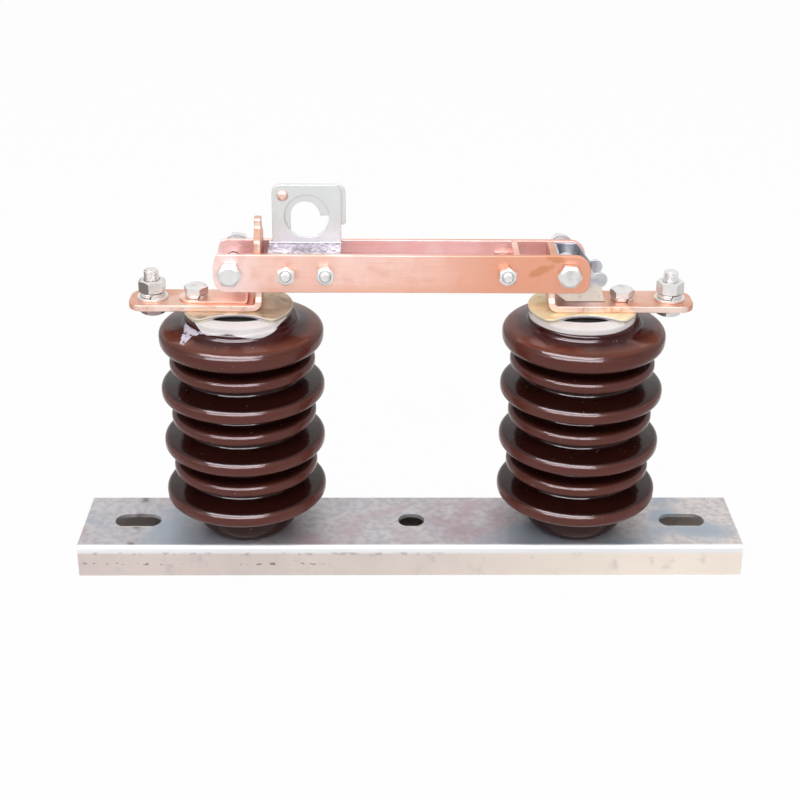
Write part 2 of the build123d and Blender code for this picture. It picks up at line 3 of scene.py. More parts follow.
import bmesh
import bpy
import numpy as np
from mathutils import Matrix, Vector


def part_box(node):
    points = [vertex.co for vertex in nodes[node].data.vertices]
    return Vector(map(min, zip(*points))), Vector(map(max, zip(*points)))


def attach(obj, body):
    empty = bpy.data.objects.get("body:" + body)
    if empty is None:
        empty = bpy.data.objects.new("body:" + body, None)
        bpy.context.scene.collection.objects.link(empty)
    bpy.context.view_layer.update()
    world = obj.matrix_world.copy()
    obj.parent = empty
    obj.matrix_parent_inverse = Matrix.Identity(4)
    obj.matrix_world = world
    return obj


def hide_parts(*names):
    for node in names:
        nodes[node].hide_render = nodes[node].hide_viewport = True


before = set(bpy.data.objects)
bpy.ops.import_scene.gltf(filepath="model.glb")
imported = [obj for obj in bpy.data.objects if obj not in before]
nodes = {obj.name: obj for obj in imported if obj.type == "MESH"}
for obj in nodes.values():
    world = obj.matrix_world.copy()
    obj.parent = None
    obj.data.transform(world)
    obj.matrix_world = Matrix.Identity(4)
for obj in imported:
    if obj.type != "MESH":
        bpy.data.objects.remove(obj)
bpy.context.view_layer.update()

# ---- Base channel ----
# The base is steel plate folded to a shallow trough, web up, then galvanised after its slots and
# holes were punched. It is bolted to a crossarm through the slots and carries both posts.


class Term:
    """A shader value in an expression: each operator adds one Math node to its tree."""

    def __init__(self, tree, socket):
        self.tree = tree
        self.socket = socket

    def math(self, operation, *others):
        """A Math node on this value and then the others."""
        values = dict(enumerate((self, *others)))
        return self.tree.add("ShaderNodeMath", {"operation": operation}, values)

    def part(self, output):
        """Another output of the same node."""
        return Term(self.tree, self.socket.node.outputs[output])

    def __add__(self, other):
        return self.math("ADD", other)

    def __sub__(self, other):
        return self.math("SUBTRACT", other)

    def __rsub__(self, other):
        return self.tree.add("ShaderNodeMath", {"operation": "SUBTRACT"}, {0: other, 1: self})

    def __mul__(self, other):
        return self.math("MULTIPLY", other)

    def __truediv__(self, other):
        return self.math("DIVIDE", other)

    def __abs__(self):
        return self.math("ABSOLUTE")

    __radd__ = __add__
    __rmul__ = __mul__


class Tree:
    """The nodes of a material or of the world; add() is the one way in which a node is made."""

    def __init__(self, owner):
        owner.use_nodes = True
        self.nodes = owner.node_tree.nodes
        self.links = owner.node_tree.links

    def add(self, kind, settings, sockets, output=0):
        """A node of a type, its settings first and then its sockets' values or links."""
        node = self.nodes.new(kind)
        for key, value in settings.items():
            setattr(node, key, value)
        for key, value in sockets.items():
            self.feed(node.inputs[key], value)
        return Term(self, node.outputs[output])

    def feed(self, socket, value):
        """A socket takes a link where the value is a term, and otherwise the value itself."""
        if isinstance(value, Term):
            self.links.new(value.socket, socket)
        else:
            socket.default_value = value


class Finish(Tree):
    """A material on one Principled shader, with patterns laid out in the object's own metres."""

    def __init__(self, name, metallic):
        self.material = bpy.data.materials.new(name)
        super().__init__(self.material)
        self.shader = self.nodes["Principled BSDF"]
        self.feed(self.shader.inputs["Metallic"], metallic)
        self.place = self.add("ShaderNodeTexCoord", {}, {}, "Object")
        self.x = self.add("ShaderNodeSeparateXYZ", {}, {0: self.place}, "X")
        self.y = self.x.part("Y")
        self.z = self.x.part("Z")

    def noise(self, scale, detail=3.0, stretch=(1.0, 1.0, 1.0), distortion=0.0):
        """Cloudy values round 0.5; scale is clouds per metre, times stretch along each axis."""
        where = self.add("ShaderNodeVectorMath", {"operation": "MULTIPLY"}, {0: self.place, 1: stretch})
        sockets = {"Vector": where, "Scale": scale, "Detail": detail, "Distortion": distortion}
        return self.add("ShaderNodeTexNoise", {}, sockets, "Fac")

    def facing(self, axis):
        """How far a face looks along an axis of the world: 1 along it and -1 against it."""
        normal = self.add("ShaderNodeNewGeometry", {}, {}, "Normal")
        return self.add("ShaderNodeSeparateXYZ", {}, {0: normal}, axis)

    def rise(self, value, low, high):
        """0 below low and 1 above high, with a smooth rise between; low may be the larger."""
        sockets = {"Value": value, "From Min": low, "From Max": high}
        settings = {"interpolation_type": "SMOOTHSTEP", "clamp": True}
        if low > high:
            sockets = {"Value": value, "From Min": high, "From Max": low, "To Min": 1.0, "To Max": 0.0}
        return self.add("ShaderNodeMapRange", settings, sockets)

    def spot(self, centre, radius, softness):
        """1 inside a ball round a point and 0 outside it, over a soft edge."""
        settings = {"operation": "DISTANCE"}
        far = self.add("ShaderNodeVectorMath", settings, {0: self.place, 1: centre}, "Value")
        return self.rise(far, radius + softness, radius)

    def mix(self, factor, first, second):
        """The first colour where the factor is 0 and the second where it is 1."""
        settings = {"data_type": "RGBA"}
        return self.add("ShaderNodeMix", settings, {0: factor, 6: first, 7: second}, 2)

    def done(self, colour, roughness, bump, height):
        """Feeds the shader: colour, roughness, and relief of a height in metres."""
        self.feed(self.shader.inputs["Base Color"], colour)
        self.feed(self.shader.inputs["Roughness"], roughness)
        sockets = {"Height": bump, "Distance": height, "Strength": 1.0}
        self.feed(self.shader.inputs["Normal"], self.add("ShaderNodeBump", {}, sockets))
        return self.material


def tone(red, green, blue):
    """A colour as it looks on a screen, 0 to 255 each, as linear light with full alpha."""
    shares = [value / 255 for value in (red, green, blue)]
    linear = [s / 12.92 if s < 0.04045 else ((s + 0.055) / 1.055) ** 2.4 for s in shares]
    return (*linear, 1.0)


def dress(piece, material, body, slot, *stands_for):
    """Gives a piece its material and its body, and hides the CAD nodes that it stands for. The slot is
    not used.
    """
    piece.data.materials.clear()
    piece.data.materials.append(material)
    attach(piece, body)
    if stands_for:
        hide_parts(*stands_for)


def axis_of(node):
    """The middle of a node's box, and its lowest and highest corner."""
    low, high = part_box(node)
    return (low + high) / 2, low, high


def staged(name, mesh, shape, crease):
    """A piece whose mesh is given the shape, with its edges sharp past crease degrees."""
    shape.to_mesh(mesh)
    shape.free()
    mesh.shade_smooth()
    mesh.set_sharp_from_angle(angle=math.radians(crease))
    piece = bpy.data.objects.new(name, mesh)
    bpy.context.scene.collection.objects.link(piece)
    return piece


def eased_copy(node, name, width):
    """A copy of a CAD node with merged triangles and its sharp edges rounded over to a width."""
    crease, flat = 32.0, math.radians(0.4)
    mesh = nodes[node].data.copy()
    mesh.name = name
    shape = bmesh.new()
    shape.from_mesh(mesh)
    bmesh.ops.remove_doubles(shape, verts=shape.verts, dist=2e-6)
    bmesh.ops.dissolve_limit(shape, angle_limit=flat, verts=shape.verts, edges=shape.edges)
    piece = staged(name, mesh, shape, crease)
    ease = piece.modifiers.new("ease", "BEVEL")
    ease.width = width
    ease.segments = 3
    ease.limit_method = "ANGLE"
    ease.angle_limit = math.radians(crease)
    ease.use_clamp_overlap = False
    ease.harden_normals = True
    return piece


def galvanised(name):
    """Galvanised plate: grey mottled web, a painted highlight along the fold, and a creamy side that is
    partly the plate's tint and partly painted reflection.
    """
    f = Finish(name, 0.45)
    high = axis_of("base_channel")[2]
    post_x = axis_of("hinge_insulator")[0].x
    slot_x, pit_level, scuff_level = 0.2305, 0.0112, 0.0208
    # 0 on the fold's corner, more than that on the web and less down the side
    past_fold = f.z - abs(f.y) + (high.y - high.z)
    side = f.rise(past_fold, -0.003, -0.0075)
    # painted highlight: a near white line along the fold's corner, where the bend catches the light
    fold_highlight = f.rise(past_fold, 0.0035, 0.0005) * f.rise(past_fold, -0.0088, -0.0055)
    cloud = f.noise(22.0, 5.0)
    grain = f.noise(260.0, 4.0)
    tint = f.noise(14.0, 2.0, distortion=0.6)
    web = f.mix(cloud, tone(226, 222, 224), tone(196, 191, 195))
    web = f.mix(0.6 * f.rise(f.x, 0.13, 0.24), web, tone(240, 232, 226))
    speckle = f.rise(f.noise(170.0, 5.0), 0.40, 0.62)
    web = f.mix(0.35 * speckle, web, tone(160, 154, 160))
    # painted reflection: the web goes blue-grey in front of each post, where it mirrors the dark glaze
    post_reflection = f.rise(abs(abs(f.x) - post_x), 0.075, 0.045) * f.rise(f.y, -0.012, -0.030)
    web = f.mix(0.5 * post_reflection * f.rise(cloud, 0.42, 0.6), web, tone(142, 144, 160))
    web = f.mix(f.rise(tint, 0.52, 0.72), web, tone(178, 188, 200))
    web = f.mix(f.rise(tint, 0.46, 0.28), web, tone(199, 178, 184))
    blush = f.spot((0.047, 0.0, high.z), 0.018, 0.03) * f.rise(cloud, 0.35, 0.6)
    web = f.mix(0.6 * blush, web, tone(178, 148, 158))
    streak = f.rise(abs(f.x + slot_x), 0.006, 0.001) * f.rise(f.noise(60.0, 4.0), 0.42, 0.62)
    web = f.mix(0.75 * streak, web, tone(120, 100, 104))
    chalk = f.noise(34.0, 4.0)
    cream = f.mix(chalk, tone(234, 222, 214), tone(214, 201, 196))
    warm_end = f.mix(chalk, tone(255, 246, 232), tone(246, 231, 220))
    cream = f.mix(f.rise(f.x, -0.05, 0.20), cream, warm_end)
    cream = f.mix(0.5 * f.rise(f.noise(48.0, 5.0), 0.56, 0.7), cream, tone(196, 184, 190))
    # the side's cream against the web's grey is partly the plate's own tint and partly painted
    # reflection: the side mirrors the bright floor, the web darker surroundings
    colour = f.mix(side, web, cream)
    colour = f.mix(fold_highlight, colour, tone(247, 247, 250))
    row = f.rise(abs(f.z - pit_level), 0.0016, 0.0006) * f.rise(f.x, -0.02, -0.12)
    pits = row * f.rise(f.noise(420.0, 1.0, (0.45, 1.0, 1.0)), 0.6, 0.68)
    colour = f.mix(0.75 * pits, colour, tone(92, 84, 84))
    scuff = f.rise(abs(f.z - scuff_level), 0.0022, 0.0004) * f.rise(f.noise(150.0, 3.0), 0.5, 0.64)
    colour = f.mix(0.45 * scuff * f.rise(f.x, 0.08, -0.02), colour, tone(150, 142, 146))
    rough = 0.36 + 0.22 * cloud + 0.1 * grain
    return f.done(colour, rough, grain + 0.5 * cloud, 0.00025)


base = eased_copy("base_channel", "base", 0.0005)
dress(base, galvanised("galvanised_plate"), "fixed", "galvanised_steel", "base_channel")

# ---- Porcelain posts ----
# Each post is one piece of wet-process porcelain with four large and three small ribs, under a
# brown glaze that thins over the rims. It is cemented round its bolts and stands on the base.

shed_pitch = 0.0457  # from one large rib to the next
top_rim_drop = 0.016  # the top rib's middle below the glazed top
glazed_top = axis_of("jaw_insulator")[2].z


def rounded_path(corners, steps):
    """A line through (across, up, radius) corners, each turned by an arc of its radius.

    With a and b the unit vectors to the neighbours and w the turn between them, the arc's middle
    lies on their bisector at radius / cos(w / 2), and the arc sweeps w round it.
    """
    corners = np.asarray(corners, float)
    spot, radius = corners[:, :2], corners[:, 2:]
    back = np.roll(spot, 1, 0) - spot
    ahead = np.roll(spot, -1, 0) - spot
    back[0], ahead[-1] = -ahead[0], -back[-1]
    a = back / np.linalg.norm(back, axis=1, keepdims=True)
    b = ahead / np.linalg.norm(ahead, axis=1, keepdims=True)
    half = 0.5 * np.arccos(np.clip(-(a * b).sum(1, keepdims=True), -1, 1 - 1e-9))
    trim = radius * np.tan(half)
    between = np.where(half > 1e-4, a + b, 0)
    between = between / np.maximum(np.linalg.norm(a + b, axis=1, keepdims=True), 1e-9)
    middle = spot + between * radius / np.cos(half)
    start, end = spot + a * trim - middle, spot + b * trim - middle
    share = np.linspace(0, 1, steps)[None, :, None]
    turn = np.maximum(2 * half, 1e-4)[:, :, None]
    arc = np.sin((1 - share) * turn) * start[:, None] + np.sin(share * turn) * end[:, None]
    return (middle[:, None] + arc / np.sin(turn)).reshape(-1, 2)


def skin(name, points, crease, closed_rows=False):
    """A piece from an array of rows of points: quads between neighbours, each row a closed ring.

    Rings that shrink to one point are merged there, and the faces are made to point outwards.
    """
    rows, columns = points.shape[:2]
    index = np.arange(rows * columns).reshape(rows, columns)
    beside = np.roll(index, -1, 1)
    quads = np.stack([index, beside, np.roll(beside, -1, 0), np.roll(index, -1, 0)], -1)
    if not closed_rows:
        quads = quads[:-1]
    mesh = bpy.data.meshes.new(name)
    mesh.from_pydata(points.reshape(-1, 3).tolist(), [], quads.reshape(-1, 4).tolist())
    shape = bmesh.new()
    shape.from_mesh(mesh)
    bmesh.ops.remove_doubles(shape, verts=shape.verts, dist=1e-6)
    bmesh.ops.recalc_face_normals(shape, faces=shape.faces)
    return staged(name, mesh, shape, crease)


def post_outline(height):
    """Half the post's section from the foot's middle to the top's, in metres.

    Each rib is a root corner on the core, two rounded rim corners and a root corner above.
    """
    core, neck, root_round = 0.045, 0.0448, 0.0040
    foot, foot_round, foot_height = 0.042, 0.014, 0.020
    corners = [(0.0, 0.0, 0.0), (foot, 0.0, foot_round), (foot, foot_height, 0.0015)]
    for step in range(6, -1, -1):
        large = step % 2 == 0
        level = height - top_rim_drop - step * shed_pitch / 2
        reach = 0.0659 if large else 0.0589
        half = 0.0074 if step == 0 else 0.0053 if large else 0.0042
        slope = 0.0035 if large else 0.0020
        corners += [
            (core, level - half - slope, root_round),
            (reach, level - half, 0.92 * half),
            (reach, level + half, 0.92 * half),
            (core, level + half + slope, root_round),
        ]
    corners += [(neck, height, 0.0015), (0.0, height, 0.0)]
    return rounded_path(corners, 7)


def make_post(name, node):
    """The outline turned round the post's axis, drawn in by up to 0.4 mm where the clay sank.

    A point at angle t is at r (cos t, sin t), with r = outline - sag (1 + sin(2t + 90z)) / 2.
    """
    centre, low, high = axis_of(node)
    across, up = post_outline(high.z - low.z).T
    t = np.linspace(0, 2 * np.pi, 160, endpoint=False)[None, :]
    sag = 0.0004 * np.minimum(across / 0.05, 1)[:, None]
    r = across[:, None] - sag * (0.5 + 0.5 * np.sin(2 * t + 90 * up[:, None]))
    z = np.broadcast_to(low.z + up[:, None], r.shape)
    points = np.stack([centre.x + r * np.cos(t), centre.y + r * np.sin(t), z], -1)
    return skin(name, points, 60.0)


def run_level(f, aside):
    """How high the glaze has run on the jaw post at a distance aside from its axis, in metres.

    1.5 mm below the top, plus a sine wave 1.7 mm high and 50 mm long, a parabola past 20 mm on
    the right and a steeper one past 21 mm on the left, and cloudy unevenness.
    """
    phase = (aside + 0.0195) * (2 * math.pi / 0.050)
    right = (aside - 0.020).math("MAXIMUM", 0.0)
    left = (-0.021 - aside).math("MAXIMUM", 0.0)
    level = (glazed_top - 0.0015) + 0.0017 * phase.math("SINE")
    level = level + 14.8 * right * right + 50.0 * left * left
    return level + 0.0012 * (f.noise(160.0, 4.0) - 0.5)


def glazed(name, centre_x, smear):
    """Brown glaze: dark in the grooves and on the ribs' upper faces, partly where it pools thick and
    partly painted shade, redder and thinner over the rims, with a few pinholes.
    """
    f = Finish(name, 0.0)
    f.feed(f.shader.inputs["Specular IOR Level"], 0.2)
    aside = f.x - centre_x
    middle = f.add("ShaderNodeCombineXYZ", {}, {"X": aside, "Y": f.y})
    out = f.add("ShaderNodeVectorMath", {"operation": "LENGTH"}, {0: middle}, "Value")
    cloud = f.noise(30.0, 4.0)
    above_rim = f.z - (glazed_top - top_rim_drop)
    off_rim = above_rim.math("PINGPONG", shed_pitch / 4)
    # painted shade: the grooves and upper faces take the dark colour, partly for glaze pooled there and
    # partly for shade; the rims are lighter where the glaze runs thin
    rim = f.rise(off_rim + 0.0012 * (cloud - 0.5), 0.0056, 0.0036) * f.rise(out, 0.050, 0.056)
    top_rim = f.rise(above_rim, -0.0085, -0.0065) * f.rise(out, 0.0475, 0.0580)
    thin = rim.math("MAXIMUM", 0.7 * top_rim)
    colour = f.mix(cloud, tone(44, 18, 15), tone(58, 24, 19))
    over = f.mix(cloud, tone(108, 58, 46), tone(96, 52, 50))
    colour = f.mix(thin, colour, over)
    # painted shade: the top rib's upper face darkens towards the neck
    shoulder = f.mix(f.rise(out, 0.049, 0.060), tone(64, 18, 18), tone(112, 60, 46))
    colour = f.mix(f.rise(above_rim, 0.0050, 0.0074), colour, shoulder)
    pinhole = f.rise(f.noise(520.0, 1.0), 0.775, 0.80)
    colour = f.mix(0.6 * pinhole, colour, tone(190, 170, 160))
    rough = 0.11 + 0.10 * cloud + 0.4 * pinhole
    if smear:
        # bare white on the neck's front, and a torn smear beside it that narrows down the shoulder
        run = f.rise(f.z - run_level(f, aside), -0.0003, 0.0003) * f.rise(f.y, -0.016, -0.020)
        run = run * f.rise(aside, -0.0305, -0.0290) * f.rise(out, 0.0475, 0.0465)
        down = ((glazed_top - 0.0010) - f.z) / 0.0066
        ragged = 0.006 * (f.noise(150.0, 5.0, distortion=0.8) - 0.5)
        from_left = aside + 0.0435
        from_right = -0.0240 - 0.016 * down - aside
        torn = f.rise(from_left.math("MINIMUM", from_right) + ragged, -0.0002, 0.0006)
        torn = torn * f.rise(down, -0.05, 0.05) * f.rise(down, 1.06, 0.94) * f.rise(f.y, 0.0, -0.004)
        torn = torn * f.rise(f.noise(300.0, 3.0), 0.34, 0.44)
        bare = run.math("MAXIMUM", torn)
        white = f.mix(cloud, tone(250, 244, 242), tone(232, 226, 232))
        white = f.mix(torn, white, tone(226, 218, 236))
        colour = f.mix(bare, colour, white)
        rough = rough + 0.6 * bare
    return f.done(colour, rough, f.noise(60.0, 3.0) + 0.3 * pinhole, 0.00045)


jaw_post_x = axis_of("jaw_insulator")[0].x
hinge_post_x = axis_of("hinge_insulator")[0].x
jaw_post = make_post("jaw_post", "jaw_insulator")
dress(jaw_post, glazed("jaw_glaze", jaw_post_x, True), "fixed", "brown_porcelain", "jaw_insulator")
hinge_post = make_post("hinge_post", "hinge_insulator")
hinge_glaze = glazed("hinge_glaze", hinge_post_x, False)
dress(hinge_post, hinge_glaze, "fixed", "brown_porcelain", "hinge_insulator")

# ---- Unglazed tops ----
# The porcelain's top face is bare, ground flat and chalky white. On the jaw post the glaze has run
# over part of it, and the white shows off centre. The flange plate is bolted down on it.


def make_cap(name, node):
    """A low disc with a soft shoulder, its rim drawn in where it was ground unevenly.

    At angle t the radius is R - w, with w = 0.25 mm (2 + sin(3t + 1) + sin 7t).
    """
    centre, low, high = axis_of(node)
    reach, thick = (high.x - low.x) / 2, high.z - low.z
    corners = [(0, 0, 0), (reach, 0, 0.0002), (reach, thick, 0.0013), (0, thick, 0)]
    across, up = rounded_path(corners, 6).T
    t = np.linspace(0, 2 * np.pi, 120, endpoint=False)[None, :]
    wobble = 0.00025 * (2 + np.sin(3 * t + 1) + np.sin(7 * t))
    r = across[:, None] * (1 - wobble / reach)
    z = np.broadcast_to(low.z + up[:, None], r.shape)
    points = np.stack([centre.x + r * np.cos(t), centre.y + r * np.sin(t), z], -1)
    return skin(name, points, 50.0)


def bare_top(name, centre_x, flange, overrun):
    """Bare porcelain: chalk white, a painted shadow under the flange's waist, and glaze run over it."""
    f = Finish(name, 0.0)
    cloud = f.noise(70.0, 4.0)
    dirt = f.rise(f.noise(38.0, 5.0), 0.58, 0.78)
    colour = f.mix(cloud, tone(255, 252, 250), tone(248, 243, 243))
    colour = f.mix(0.25 * dirt, colour, tone(206, 198, 198))
    middle, low, _ = axis_of(flange)
    from_middle = (f.x - middle.x) / 0.018
    edge = abs(f.y) + 0.0034 * from_middle * from_middle
    # painted shadow: near black on the top face under the flange plate, where the gap lies in shade
    under_plate_shadow = f.rise(f.z, low.z - 0.0009, low.z - 0.0003) * f.rise(edge, 0.0272, 0.0264)
    colour = f.mix(under_plate_shadow, colour, tone(14, 10, 10))
    rough = 0.75 - 0.1 * cloud
    if overrun:
        below_run = f.z - run_level(f, f.x - centre_x)
        glaze = f.rise(below_run, 0.0003, -0.0003) * f.rise(f.y, 0.0, -0.003)
        colour = f.mix(glaze, colour, tone(78, 38, 32))
        rough = rough - 0.6 * glaze
    return f.done(colour, rough, cloud + 0.4 * f.noise(400.0, 2.0), 0.0003)


jaw_top = make_cap("jaw_post_top", "jaw_cap")
jaw_bare = bare_top("jaw_bare_top", jaw_post_x, "jaw_flange", True)
dress(jaw_top, jaw_bare, "fixed", "white_cement", "jaw_cap")
hinge_top = make_cap("hinge_post_top", "hinge_cap")
hinge_bare = bare_top("hinge_bare_top", hinge_post_x, "hinge_flange", False)
dress(hinge_top, hinge_bare, "fixed", "white_cement", "hinge_cap")

# ---- Flange plates ----
# A pressed steel plate with a scooped waist sits on each post's top on two pads, so a gap shows
# under the waist. It is yellow-passivated zinc and held by the bolt that also holds the bar.


def passivated(name, centre_x, gold, khaki, blotches):
    """Yellow passivated zinc: gold and khaki on top, cream in layers on the edge, waist lavender."""
    f = Finish(name, 0.3)
    cloud = f.noise(55.0, 4.0, distortion=0.4)
    colour = f.mix(f.rise(cloud, 0.3, 0.7), tone(*gold), tone(*khaki))
    blotch = f.rise(f.noise(80.0, 4.0, distortion=0.6), 0.5, 0.66)
    colour = f.mix(blotches * blotch, colour, tone(134, 112, 88))
    colour = f.mix(0.4 * f.rise(f.noise(44.0, 3.0), 0.58, 0.7), colour, tone(214, 204, 196))
    plate_edge, mid_layer = 0.2256, 0.2238
    edge = f.rise(f.z, plate_edge, plate_edge - 0.0004)
    layer = f.rise(abs(f.z - mid_layer), 0.0005, 0.0002)
    cream = f.mix(cloud, tone(255, 250, 234), tone(244, 232, 208))
    waist = f.rise(abs(f.x - centre_x), 0.028, 0.016)
    cream = f.mix(0.8 * waist, cream, tone(232, 226, 240))
    cream = f.mix(0.55 * layer, cream, tone(150, 132, 104))
    colour = f.mix(edge, colour, cream)
    rough = 0.42 + 0.16 * cloud
    return f.done(colour, rough, cloud + 0.3 * f.noise(300.0, 3.0), 0.0003)


flange_tones = {
    "jaw": (jaw_post_x, (236, 212, 180), (194, 168, 138), 0.6),
    "hinge": (hinge_post_x, (255, 247, 206), (246, 222, 170), 0.2),
}
for end, tones in flange_tones.items():
    flange = eased_copy(f"{end}_flange", f"{end}_flange_plate", 0.0009)
    plate = passivated(f"{end}_passivated_plate", *tones)
    dress(flange, plate, "fixed", "yellow_plated_steel", f"{end}_flange")

# ---- Contact bars and strip ----
# Drawn copper bar, cut and bent up at its inner end, with a radius left where it is bent. The jaw
# upright has a raised finger. A thin copper strip lies on the jaw bar, its inner end turned up.


def copper(name, pale, warm, along=(0.03, 1.0, 1.0), extra=None):
    """Polished copper: pale and warm patches, fine drawing lines along it and a few tan stains.

    What is special to a piece is painted over these by its own function, extra.
    """
    f = Finish(name, 1.0)
    lines = f.noise(700.0, 2.0, along)
    cloud = f.noise(26.0, 4.0, distortion=0.5)
    spots = f.noise(75.0, 4.0, distortion=0.3)
    colour = f.mix(f.rise(cloud, 0.3, 0.7), pale, warm)
    colour = f.mix(0.35 * f.rise(spots, 0.52, 0.7), colour, tone(220, 164, 142))
    colour = f.mix(0.2 * f.rise(lines, 0.45, 0.75), colour, tone(212, 156, 136))
    if extra:
        colour = extra(f, colour, cloud, spots)
    rough = 0.27 + 0.2 * cloud + 0.12 * lines
    return f.done(colour, rough, 0.5 * lines + 0.6 * spots, 0.00016)


def bar_sides(f, colour, cloud, spots):
    """Faces that look to the front or back are paler than the rest, with browner patches."""
    front_and_back = f.rise(abs(f.facing("Y")), 0.75, 0.92)
    pale = f.mix(f.rise(spots, 0.5, 0.66), tone(246, 222, 212), tone(220, 174, 154))
    return f.mix(0.85 * front_and_back, colour, pale)


bar_copper = copper("bar_copper", tone(236, 196, 178), tone(220, 164, 140), extra=bar_sides)
for end, width in (("jaw", 0.0009), ("hinge", 0.0008)):
    bar = eased_copy(f"{end}_contact_bar", f"{end}_bar", width)
    dress(bar, bar_copper, "fixed", "copper", f"{end}_contact_bar")
strip = eased_copy("jaw_strip", "contact_strip", 0.0004)
strip_copper = copper("strip_copper", tone(250, 216, 202), tone(234, 180, 160))
dress(strip, strip_copper, "fixed", "copper", "jaw_strip")

# ---- Bolts, nuts and washers that stand upright ----
# Hexagon bolts, nuts and washers of zinc-plated steel. One bolt and spring washer holds each bar
# to its flange, and a terminal bolt with two washers and a nut stands on each bar's free end.

chamfer_slope = math.tan(math.radians(30))
# Each size's width across flats, head height, radius and pitch.
thread_sizes = {
    "M8": (0.013, 0.0053, 0.004, 0.00125),
    "M10": (0.017, 0.0068, 0.005, 0.00150),
    "M12": (0.019, 0.0075, 0.006, 0.00175),
    "M16": (0.024, 0.0100, 0.008, 0.00200),
}
up, down = (0, 0, 1), (0, 0, -1)
to_back, to_front = (0, 1, 0), (0, -1, 0)


def turned(rows, flats=0.0, pitch=1.0, depth=0.0, columns=72, face=1.0):
    """Rings of points from rows of (radius, height, hexagon, slope, thread), in metres.

    A ring's radius at angle t is r, or where hexagon is 1 the hexagon's own, flats / 2 over the
    cosine of t past the nearest flat's middle. A slope of 1 or -1 lowers or raises a corner by
    tan 30 of what it stands out past the round face, which is a share of the flats. Thread adds
    depth times 1.25 - 1.5 |2 frac(z / pitch - t / 2 pi) - 1|, kept from 0 to 1.
    """
    table = np.asarray(rows, float)
    r, z, hexagon, slope, thread = [table[:, i : i + 1] for i in range(5)]
    t = np.linspace(0, 2 * np.pi, columns, endpoint=False)[None, :]
    side = flats / 2 / np.cos(np.mod(t, np.pi / 3) - np.pi / 6)
    radius = r * (1 - hexagon) + side * hexagon
    height = z - slope * np.maximum(radius - face * flats / 2, 0) * chamfer_slope
    phase = np.mod(z / pitch - t / (2 * np.pi), 1)
    tooth = np.clip(1.25 - 1.5 * np.abs(2 * phase - 1), 0, 1)
    radius = radius + thread * depth * tooth
    return np.stack([radius * np.cos(t), radius * np.sin(t), height + 0 * radius], -1)


def threaded(radius, depth, pitch, start, end, chamfer):
    """Rows of a thread from start to end, its last part turned down to a chamfer."""
    z = np.arange(start, end, pitch / 8)
    grow = np.clip((end - z) / chamfer, 0, 1)
    base = radius - depth - (1 - grow) * chamfer * 0.5
    rows = np.stack([base, z, 0 * z, 0 * z, grow], 1)
    last = [[radius - depth - 0.5 * chamfer, end, 0, 0, 0], [0, end, 0, 0, 0]]
    return np.vstack([rows, last])


def placed(points, seat, direction, spin=0.0):
    """Points drawn along +Z, turned by spin and set with +Z along a direction at a seat."""
    ahead = np.asarray(direction, float)
    side = np.array([1.0, 0, 0])
    other = np.cross(ahead, side)
    a = math.radians(spin)
    first = side * math.cos(a) + other * math.sin(a)
    second = np.cross(ahead, first)
    return np.asarray(seat, float) + points @ np.stack([first, second, ahead])


def bolt_points(flats, head, radius, pitch, length, shown):
    """A hexagon bolt: its head below zero, a collar under it, a plain shank, and thread at its end."""
    face, collar = 0.80, 0.94 * flats / 2
    top = face * flats / 2
    rows = [
        [0, -head, 0, 0, 0], [0.9 * top, -head, 0, 0, 0], [top, -head, 0, 0, 0],
        [0, -head, 1, -1, 0], [0, -0.0004, 1, 0, 0], [collar, -0.0004, 0, 0, 0],
        [collar, 0, 0, 0, 0], [radius, 0, 0, 0, 0], [radius, length - shown, 0, 0, 0],
    ]
    depth = 0.5 * pitch
    thread = threaded(radius, depth, pitch, length - shown + pitch / 8, length, 0.001)
    return turned(np.vstack([rows, thread]), flats, pitch, depth, face=face)


def nut_points(flats, height, radius):
    """A hexagon nut: flats between two chamfers, and a bore with countersunk mouths."""
    face, sink = 0.90, 0.0006
    outer, mouth = face * flats / 2, radius + sink
    rows = [
        [radius, sink, 0, 0, 0], [mouth, 0, 0, 0, 0], [outer, 0, 0, 0, 0], [0, 0, 1, -1, 0],
        [0, height, 1, 1, 0], [outer, height, 0, 0, 0], [mouth, height, 0, 0, 0],
        [radius, height - sink, 0, 0, 0],
    ]
    return turned(rows, flats, face=face)


def ring_points(outer, inner, height, ease):
    """A flat washer: its section goes round the four eased corners."""
    rows = [
        [inner, ease, 0, 0, 0], [inner + ease, 0, 0, 0, 0], [outer - ease, 0, 0, 0, 0],
        [outer, ease, 0, 0, 0], [outer, height - ease, 0, 0, 0], [outer - ease, height, 0, 0, 0],
        [inner + ease, height, 0, 0, 0], [inner, height - ease, 0, 0, 0],
    ]
    return turned(rows)


def split_points(outer, inner, height):
    """A spring washer: a square section carried round a turn that climbs, cut on a slant.

    The turn runs from t = cut to 2 pi - cut, with the ends leaning by height tan(slant), and each
    end ring shrinks to its middle so that the ends are closed.
    """
    opening, slant, rise = 0.0016, math.radians(25), 0.12 * height
    share = np.array([0, 0, *np.linspace(0, 1, 60), 1, 1])[:, None]
    swell = np.array([0, 1, *np.ones(60), 1, 0])[:, None]
    wide, tall = (outer - inner) / 2, (height - rise) / 2
    across = np.array([-1, -0.9, 0.9, 1, 1, 0.9, -0.9, -1])[None, :]
    above = np.array([-0.8, -1, -1, -0.8, 0.8, 1, 1, 0.8])[None, :]
    r = (outer + inner) / 2 + wide * across * swell
    z = height / 2 + tall * above * swell + rise * (share - 0.5)
    cut = opening / 2 / outer
    lean = math.tan(slant) * (z - height / 2) / outer
    t = -np.pi / 2 + cut + lean + share * (2 * np.pi - 2 * cut)
    return np.stack([r * np.cos(t), r * np.sin(t), z], -1)


